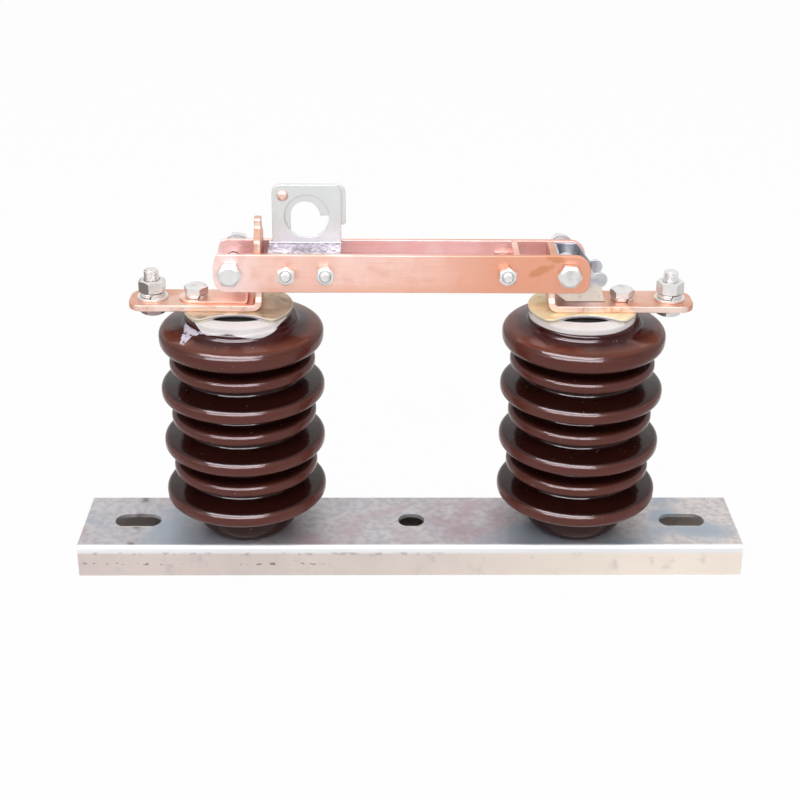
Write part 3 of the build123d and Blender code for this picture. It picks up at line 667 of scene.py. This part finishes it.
def zinc(name, shade, shade_below=None):
    """Bright zinc plate: a slightly clouded mirror, duller and greyer in patches.

    Where a height is given, the flats that look to the jaw end carry a painted reflection of dark
    surroundings, and all below that height is painted shade.
    """
    f = Finish(name, 0.85)
    cloud = f.noise(160.0, 4.0)
    patch = f.rise(f.noise(90.0, 3.0), 0.56, 0.72)
    colour = f.mix(cloud, tone(*shade), tone(*(value - 26 for value in shade)))
    colour = f.mix(0.5 * patch, colour, tone(192, 184, 172))
    if shade_below:
        # painted reflection on the jaw-facing flats, then painted shade below the given height
        colour = f.mix(0.85 * f.rise(f.facing("X"), -0.40, -0.52), colour, tone(112, 100, 96))
        colour = f.mix(0.75 * f.rise(f.z, shade_below, shade_below - 0.0005), colour, tone(142, 112, 106))
    rough = 0.30 + 0.14 * cloud + 0.1 * patch
    return f.done(colour, rough, cloud + 0.2 * f.noise(900.0, 2.0), 0.0001)


fastener_zinc = zinc("fastener_zinc", (244, 243, 242))
# the jaw stud and nut: painted shade under the jaw bar, and a painted dark reflection on their
# jaw-facing flats
jaw_stud_zinc = zinc("jaw_stud_zinc", (244, 240, 238), axis_of("jaw_contact_bar")[1].z)


def span(node, direction):
    """Where a node's box starts along a direction, on the piece's axis, and its length that way."""
    centre, low, high = axis_of(node)
    ahead = Vector(direction)
    length = abs((high - low).dot(ahead))
    start = centre - ahead * (length / 2)
    if ahead.z:
        start.y = 0.0  # what stands upright is on the base's middle line
    return start, length


def half_width(node):
    """Half of a node's box along the base."""
    _, low, high = axis_of(node)
    return (high.x - low.x) / 2


def fasten(name, points, node, body, closed_rows=False, material=fastener_zinc, slot="zinc_fasteners"):
    """A fastener's piece in place of its CAD node."""
    dress(skin(name, points, 28.0, closed_rows), material, body, slot, node)


def add_nut(name, size, node, body, direction, spin, material=fastener_zinc):
    """A nut as long as its node's box."""
    start, height = span(node, direction)
    flats, _, radius, _ = thread_sizes[size]
    nut = placed(nut_points(flats, height, radius), start, direction, spin)
    fasten(name, nut, node, body, True, material)


def add_bolt(name, size, node, body, direction, spin, shown, material=fastener_zinc):
    """A bolt with its head where its node's box starts, and so much thread at the other end."""
    start, total = span(node, direction)
    flats, head, radius, pitch = thread_sizes[size]
    bolt = bolt_points(flats, head, radius, pitch, total - head, shown)
    bolt = placed(bolt, start + Vector(direction) * head, direction, spin)
    fasten(name, bolt, node, body, False, material)


def past_nut(nut_node, bolt_node, direction):
    """How far a bolt stands out of its nut, and 2 mm more: the thread that has to be there."""
    nut_start, nut_length = span(nut_node, direction)
    start, length = span(bolt_node, direction)
    return (start - nut_start).dot(Vector(direction)) + length - nut_length + 0.002


m10_bore, m12_bore = 0.0054, 0.0064
for end, spin, plate in (("jaw", 23, jaw_stud_zinc), ("hinge", -12, fastener_zinc)):
    node = f"{end}_flange_washer"
    seat, height = span(node, up)
    lock = placed(split_points(half_width(node), m10_bore, height), seat, up, 20)
    fasten(f"{end}_bar_lock_washer", lock, node, "fixed", True)
    add_bolt(f"{end}_bar_bolt", "M10", f"{end}_flange_bolt", "fixed", down, 8, 0.002)

    node = f"{end}_terminal_washer"
    seat, height = span(node, up)
    flat = placed(ring_points(0.0122, m12_bore, height, 0.0003), seat, up)
    fasten(f"{end}_stud_washer", flat, node, "fixed", True)
    node = f"{end}_terminal_spring_washer"
    seat, height = span(node, up)
    lock = placed(split_points(0.0100, m12_bore, height), seat, up)
    fasten(f"{end}_stud_lock_washer", lock, node, "fixed", True)
    nut_node, bolt_node = f"{end}_terminal_nut", f"{end}_terminal_bolt"
    add_nut(f"{end}_stud_nut", "M12", nut_node, "fixed", up, spin, plate)
    shown = past_nut(nut_node, bolt_node, up)
    add_bolt(f"{end}_stud", "M12", bolt_node, "fixed", up, 12, shown, plate)

# ---- Hinge saddle ----
# A bracket of thin galvanised sheet bent to a U: its web backs the hinge upright and its two
# cheeks lie inside the blades. The hinge bolt goes through them, with a bushing in between.


def sheet_steel(name):
    """Bright sheet: cream grey at the foot, blue grey above, painted reflections streaked inside the
    rear cheek, and a painted shadow along its lower edge.
    """
    f = Finish(name, 0.8)
    lines = f.noise(600.0, 2.0, (1.0, 1.0, 0.05))
    cloud = f.noise(60.0, 3.0, distortion=0.5)
    colour = f.mix(f.rise(cloud, 0.32, 0.68), tone(226, 226, 226), tone(178, 180, 186))
    foot = f.mix(cloud, tone(240, 226, 212), tone(214, 202, 192))
    foot_top = 0.2520
    colour = f.mix(f.rise(f.z, foot_top, foot_top - 0.0080), colour, foot)
    _, low, high = axis_of("hinge_saddle")
    in_rear = f.rise(f.y, high.y - 0.0030, high.y - 0.0026)
    in_rear = in_rear * f.rise(f.y, high.y - 0.0006, high.y - 0.0012)
    # painted reflection: dark and light streaks on the rear cheek's inner face stand for the
    # surroundings it mirrors
    streak = f.rise(f.noise(90.0, 3.0, (1.0, 1.0, 0.4)), 0.40, 0.62)
    reflection_streaks = f.mix(streak, tone(96, 100, 118), tone(206, 212, 226))
    colour = f.mix(0.85 * in_rear, colour, reflection_streaks)
    scuff = f.rise(f.noise(240.0, 4.0), 0.6, 0.72)
    colour = f.mix(0.4 * scuff, colour, tone(160, 156, 162))
    shadow = f.rise(f.z, low.z + 0.0016, low.z + 0.0006)
    colour = f.mix(0.8 * shadow, colour, tone(92, 48, 36))
    rough = 0.24 + 0.2 * cloud + 0.1 * scuff
    return f.done(colour, rough, 0.4 * lines + cloud, 0.00015)


def bushing_chalk(name):
    """The same chalky white as the posts' tops, a little smoother and with nothing on it."""
    f = Finish(name, 0.0)
    cloud = f.noise(120.0, 4.0)
    colour = f.mix(cloud, tone(252, 250, 248), tone(232, 228, 226))
    return f.done(colour, 0.6 - 0.1 * cloud, cloud, 0.0001)


saddle = eased_copy("hinge_saddle", "saddle", 0.0005)
dress(saddle, sheet_steel("saddle_sheet"), "fixed", "saddle_steel", "hinge_saddle")

pivot = axis_of("hinge_bolt")[0]
cheek, play = 0.0022, 0.0002
tube = 2 * (axis_of("hinge_saddle")[2].y - cheek - play)
sleeve = placed(ring_points(0.0072, 0.0052, tube, 0.0006), (pivot.x, -tube / 2, pivot.z), to_back)
bushing = skin("hinge_bushing", sleeve, 35.0, True)
dress(bushing, bushing_chalk("bushing_white"), "fixed", "white_cement")

# ---- Blades and spacer ----
# Two flat copper bars with rounded corners close over the uprights from both sides. A copper strip
# bent to a U ties them together near the hinge. All are hard-drawn bar, polished pale.


def stain(f, x, z, lean, long, wide):
    """1 in an ellipse round a place on the blades, its long half turned up by lean degrees."""
    turn = math.radians(lean)
    along = (f.x - x) * math.cos(turn) + (f.z - z) * math.sin(turn)
    across = (f.z - z) * math.cos(turn) - (f.x - x) * math.sin(turn)
    reach = along * along / long ** 2 + across * across / wide ** 2
    return f.rise(reach + 2.4 * (f.noise(150.0, 5.0) - 0.5), 1.3, 0.3)


def blade_marks(f, colour, cloud, spots):
    """Paler to the middle, orange to the hinge and the lower edge, rosy at the jaw and inside."""
    colour = f.mix(0.85 * f.rise(f.x, -0.03, 0.065), colour, tone(229, 160, 130))
    lower = f.rise(f.z, pivot.z - 0.006, pivot.z - 0.014)
    colour = f.mix(0.45 * lower, colour, tone(226, 168, 140))
    rosy = f.rise(f.x, -0.105, -0.14) * f.rise(spots, 0.30, 0.60)
    colour = f.mix(0.8 * rosy, colour, tone(255, 230, 228))
    inner = axis_of("blade_rear")[1].y
    inside = f.rise(abs(f.y), inner + 0.0005, inner + 0.0001)
    blush = f.mix(f.rise(cloud, 0.35, 0.65), tone(255, 232, 232), tone(248, 208, 206))
    mauve = f.rise(f.noise(48.0, 5.0, distortion=0.8), 0.52, 0.68) * f.rise(f.x, -0.11, -0.125)
    blush = f.mix(0.7 * mauve, blush, tone(208, 184, 208))
    colour = f.mix(0.9 * inside, colour, blush)
    outside = f.rise(abs(f.y), inner + 0.0030, inner + 0.0036)
    upper_brown = stain(f, 0.1105, 0.2722, -12.0, 0.0085, 0.0032)
    brown = upper_brown.math("MAXIMUM", stain(f, 0.0985, 0.2625, 24.0, 0.0105, 0.0036))
    return f.mix(0.75 * brown * outside, colour, tone(206, 142, 104))


blade_copper = copper("blade_copper", tone(255, 219, 210), tone(242, 196, 180), extra=blade_marks)
for side in ("front", "rear"):
    blade = eased_copy(f"blade_{side}", f"{side}_blade", 0.0007)
    dress(blade, blade_copper, "blade", "copper", f"blade_{side}")


def spacer_legs(f, colour, cloud, spots):
    """The legs lie against the blades and have taken on their tarnish."""
    return f.mix(0.8 * f.rise(abs(f.y), 0.0115, 0.0125), colour, tone(232, 186, 176))


spacer = eased_copy("blade_spacer", "spacer", 0.0006)
spacer_tones = tone(252, 220, 206), tone(238, 186, 168)
spacer_copper = copper("spacer_copper", *spacer_tones, (1.0, 0.03, 1.0), spacer_legs)
dress(spacer, spacer_copper, "blade", "copper", "blade_spacer")

# ---- Pull-ring frame, rivet and latch lever ----
# The frame is one folded sheet: a flange bolted inside the front blade, a ledge, and the plate with
# the hook hole. A copper rivet holds the steel latch lever behind the plate so that it can swing.


def ring_sheet(name):
    """Zinc-plated sheet: even light grey on the plate; on the ledge a mottled purple-grey darkened as
    painted shade, in patches darker towards the plate, with a painted highlight on its rolled corner.
    """
    f = Finish(name, 1.0)
    cloud = f.noise(45.0, 3.0)
    lines = f.noise(500.0, 2.0, (1.0, 1.0, 0.06))
    colour = f.mix(cloud, tone(228, 231, 229), tone(208, 210, 209))
    ledge_top = 0.2743
    ledge = f.rise(f.z, ledge_top + 0.0019, ledge_top + 0.0003)
    blotch = f.rise(f.noise(330.0, 5.0), 0.34, 0.66)
    # painted shade: the ledge is mottled like the plating and darker than the plate, as it lies in
    # shade
    ledge_colour = f.mix(blotch, tone(236, 226, 234), tone(160, 148, 160))
    band = f.rise(f.y, -0.010, -0.002) * f.rise(f.noise(90.0, 4.0), 0.36, 0.56)
    ledge_colour = f.mix(0.4 * band, ledge_colour, tone(144, 136, 150))
    end = axis_of("ring_frame")[2].x
    # painted highlight on the ledge's rolled front corner near its end, with a painted dark spot of
    # shade beside it
    curl_highlight = f.spot((end - 0.0060, -0.0050, ledge_top), 0.0015, 0.0006)
    notch_shade = f.spot((end - 0.0052, -0.0090, ledge_top), 0.0011, 0.0005)
    ledge_colour = f.mix(0.8 * notch_shade, ledge_colour, tone(60, 40, 44))
    ledge_colour = f.mix(curl_highlight, ledge_colour, tone(252, 248, 250))
    colour = f.mix(ledge, colour, ledge_colour)
    rough = 0.34 + 0.12 * cloud + 0.1 * lines
    return f.done(colour, rough, 0.5 * lines + 0.8 * ledge * blotch, 0.00016)


ring_steel = ring_sheet("ring_sheet")
ring_frame = eased_copy("ring_frame", "pull_ring", 0.0004)
dress(ring_frame, ring_steel, "blade", "ring_steel", "ring_frame")
lever = eased_copy("latch_lever", "lever_plate", 0.0004)
dress(lever, ring_steel, "lever", "ring_steel", "latch_lever")


def rivet_points():
    """A domed head with a raised nib, a shank, and a formed head on the lever's far side.

    The dome is at R sin(s pi / 2) across and H (1 - cos(s pi / 2)) ^ 0.9 along, for s from 0 to 1,
    with a nib 0.5 mm deep and 0.8 mm wide at its middle.
    """
    shank, formed, sheet = 0.0025, 0.0016, 0.002
    start, total = span("latch_rivet", to_back)
    reach = half_width("latch_rivet")
    dome = axis_of("ring_frame")[2].y - sheet - start.y
    s = np.linspace(0, np.pi / 2, 14)
    across = reach * np.sin(s)
    along = dome * (1 - np.cos(s)) ** 0.9 + 0.0005 * np.exp(-((across / 0.0008) ** 2))
    rows = np.stack([across, along, 0 * s, 0 * s, 0 * s], 1)
    tail = [
        [shank, dome, 0, 0, 0], [shank, total - formed, 0, 0, 0], [reach, total - formed, 0, 0, 0],
        [reach, total - 0.0004, 0, 0, 0], [reach - 0.0006, total, 0, 0, 0], [0, total, 0, 0, 0],
    ]
    return placed(turned(np.vstack([rows, tail]), columns=48), start, to_back)


rivet_copper = copper("rivet_copper", tone(250, 226, 216), tone(222, 182, 168))
fasten("rivet", rivet_points(), "latch_rivet", "blade", False, rivet_copper, "copper")

# ---- Cross bolts and their pressure springs ----
# A long bolt goes through both blades at each end. Behind the rear blade a coil spring under a
# washer and nut presses the blades on the uprights. The jaw one travels with the blades.


def coil_points(outer, wire, length, turns):
    """Round wire carried up a helix: radius outer - wire / 2, flattened at both ends.

    The height is even over the middle turns and level for 0.6 of a turn at either end, and the
    wire's radius shrinks to nothing on the first and last rings to close it.
    """
    steps = 36 * turns
    share = np.array([0, *np.linspace(0, 1, steps), 1])[:, None]
    swell = np.array([0, *np.ones(steps), 0])[:, None]
    lift = np.clip((share - 0.6 / turns) / (1 - 1.2 / turns), 0, 1)
    phi = np.linspace(0, 2 * np.pi, 12, endpoint=False)[None, :]
    r = outer - wire / 2 + wire / 2 * swell * np.cos(phi)
    z = wire / 2 + (length - wire) * lift + wire / 2 * swell * np.sin(phi)
    t = 2 * np.pi * turns * share
    return np.stack([r * np.cos(t), r * np.sin(t), z], -1)


# painted shade and reflection: the springs' zinc is written darker than the other fasteners' for the
# darker place they sit in and mirror
spring_zinc = zinc("spring_zinc", (200, 198, 200))
for end, body in (("jaw", "blade"), ("hinge", "fixed")):
    node = f"{end}_spring"
    seat, length = span(node, to_back)
    coil = placed(coil_points(half_width(node), 0.0022, length, 6), seat, to_back)
    fasten(f"{end}_pressure_spring", coil, node, body, False, spring_zinc)
    node = f"{end}_washer"
    seat, height = span(node, to_back)
    flat = placed(ring_points(half_width(node), m10_bore, height, 0.0003), seat, to_back)
    fasten(f"{end}_spring_washer", flat, node, body, True)
    nut_node, bolt_node = f"{end}_nut", f"{end}_bolt"
    add_nut(f"{end}_cross_nut", "M10", nut_node, body, to_back, 10)
    shown = past_nut(nut_node, bolt_node, to_back)
    add_bolt(f"{end}_cross_bolt", "M10", bolt_node, body, to_back, 4, shown)

# ---- Small bolts through the blades ----
# Three small bolts with their nuts in front: two hold the pull-ring frame inside the front blade,
# and one holds the spacer. Their heads are behind the rear blade.

for place, spin in (("frame_jaw_side", 25), ("frame_hinge_side", 12), ("spacer", 25)):
    nut_node, bolt_node = f"{place}_nut", f"{place}_bolt"
    add_nut(f"{place}_small_nut", "M8", nut_node, "blade", to_front, spin)
    shown = past_nut(nut_node, bolt_node, to_front)
    add_bolt(f"{place}_small_bolt", "M8", bolt_node, "blade", to_front, 0, shown)

# ---- Bolts under the posts ----
# One large bolt comes up through the web into each post's cemented socket. Its head is inside the
# trough, out of sight from above.

for end in ("jaw", "hinge"):
    add_bolt(f"{end}_post_bolt", "M16", f"{end}_base_bolt", "fixed", up, 15, 0.004)

# ---- Studio ----
# A white floor and surround, two soft lights above, windows that show only as reflections, two of
# them in the glaze alone, and the camera a little above the object and in front of it.

scene = bpy.context.scene
scene.view_settings.view_transform = "Standard"

world = bpy.data.worlds.new("surround")
scene.world = world
surround = Tree(world)


def looked_at(tree):
    """1 for a ray from the camera, mirrored or not, and 0 for one that lights; and the ray's node."""
    path = tree.add("ShaderNodeLightPath", {}, {}, "Is Camera Ray")
    mirrored = path.math("MAXIMUM", path.part("Is Glossy Ray"))
    return mirrored.math("MAXIMUM", path.part("Is Transmission Ray")), path


ambient = 0.42
white = (1.0, 1.0, 1.0, 1.0)
background = surround.nodes["Background"]
surround.feed(background.inputs["Color"], white)
shown, _ = looked_at(surround)
surround.feed(background.inputs["Strength"], ambient + (1 - ambient) * shown)

floor_mesh = bpy.data.meshes.new("floor")
turn = np.linspace(0, 2 * np.pi, 64, endpoint=False)
floor_reach, floor_level = 12, -0.0002
rim = np.stack([floor_reach * np.cos(turn), floor_reach * np.sin(turn), 0 * turn + floor_level], -1)
floor_mesh.from_pydata(rim.tolist(), [], [list(range(64))])
floor = bpy.data.objects.new("floor", floor_mesh)
scene.collection.objects.link(floor)

# The paper glows white where it is looked at, so its edge is lost in the surround. Beneath the base it
# has no glow and is painted dark as shade, and it dims in reflections far to either side.
paper = Finish("floor_paper", 0.0)
base_x, base_y, soft = 0.269, 0.036, 0.004
beneath = paper.rise(abs(paper.x), base_x + soft, base_x)
beneath = beneath * paper.rise(abs(paper.y), base_y + soft, base_y)
# painted shade: the paper under the base is a dark brown-grey
paper_white = paper.mix(beneath, tone(238, 238, 238), tone(70, 60, 56))
paper.done(paper_white, 0.9, paper.noise(40.0), 0.0001)
glow = paper.add("ShaderNodeEmission", {}, {"Color": white, "Strength": 1.0})
lit, path = looked_at(paper)
far_aside = path.part("Is Glossy Ray") * paper.rise(abs(paper.x), 0.40, 0.62)
beside = paper.rise(abs(paper.x), base_x, base_x + soft)
beside = beside.math("MAXIMUM", paper.rise(abs(paper.y), base_y, base_y + soft))
shining = 0.97 * lit * beside * (1 - 0.8 * far_aside)
lit_paper = Term(paper, paper.shader.outputs[0])
both = paper.add("ShaderNodeMixShader", {}, {0: shining, 1: lit_paper, 2: glow})
paper.feed(paper.nodes["Material Output"].inputs["Surface"], both)
floor_mesh.materials.append(paper.material)


def soft_light(name, at, towards, wide, tall, brightness, shows, colour=(1.0, 1.0, 1.0), only=None):
    """A rectangular light whose power gives its face that brightness; it lights or is reflected.

    Where a collection is named, the light falls on its pieces only.
    """
    lamp = bpy.data.lights.new(name, "AREA")
    lamp.shape = "RECTANGLE"
    lamp.size, lamp.size_y = wide, tall
    lamp.energy = brightness * math.pi * wide * tall
    lamp.color = colour
    light = bpy.data.objects.new(name, lamp)
    light.location = at
    light.rotation_euler = (Vector(towards) - Vector(at)).to_track_quat("-Z", "Y").to_euler()
    light.visible_glossy = shows == "glossy"
    light.visible_diffuse = shows == "diffuse"
    light.visible_camera = False
    light.light_linking.receiver_collection = only
    scene.collection.objects.link(light)


porcelain = bpy.data.collections.new("porcelain")
porcelain.objects.link(jaw_post)
porcelain.objects.link(hinge_post)
middle, aim, clear = (0, 0, 0.12), (0, 0, 0.15), (0.94, 0.93, 1.0)
soft_light("front_light", (-0.15, -1.5, 1.55), aim, 2.6, 0.4, 4.5, "diffuse")
soft_light("top_light", (0.1, 0.2, 2.2), (0, 0, 0.1), 2.0, 1.6, 1.15, "diffuse")
soft_light("window", (-0.25, -1.25, 1.35), middle, 2.4, 0.55, 6.5, "glossy", (0.97, 0.96, 1.0))
soft_light("high_pane", (-0.35, -0.80, 1.85), middle, 2.2, 0.85, 33.0, "glossy", clear, porcelain)
soft_light("low_pane", (-0.35, -1.65, 1.05), middle, 2.6, 0.62, 30.0, "glossy", clear, porcelain)
soft_light("left_window", (-1.9, -0.9, 0.9), aim, 0.7, 0.25, 6.0, "glossy")

lens = bpy.data.cameras.new("camera")
lens.sensor_width = 36
lens.lens = 67.626
lens.shift_x = -0.02894
lens.shift_y = -0.06546
camera = bpy.data.objects.new("camera", lens)
scene.collection.objects.link(camera)
stand = Vector((-0.02173, -1.112186, 0.673168))
yaw, pitch, roll = 0.027, 0.411, 0.013
ahead = Vector((math.sin(yaw) * math.cos(pitch), math.cos(yaw) * math.cos(pitch), -math.sin(pitch)))
level = Vector((math.cos(yaw), -math.sin(yaw), 0))
upright = level.cross(ahead)
right = level * math.cos(roll) + upright * math.sin(roll)
above = upright * math.cos(roll) - level * math.sin(roll)
camera.matrix_world = Matrix((right, above, -ahead)).transposed().to_4x4()
camera.location = stand
scene.camera = camera
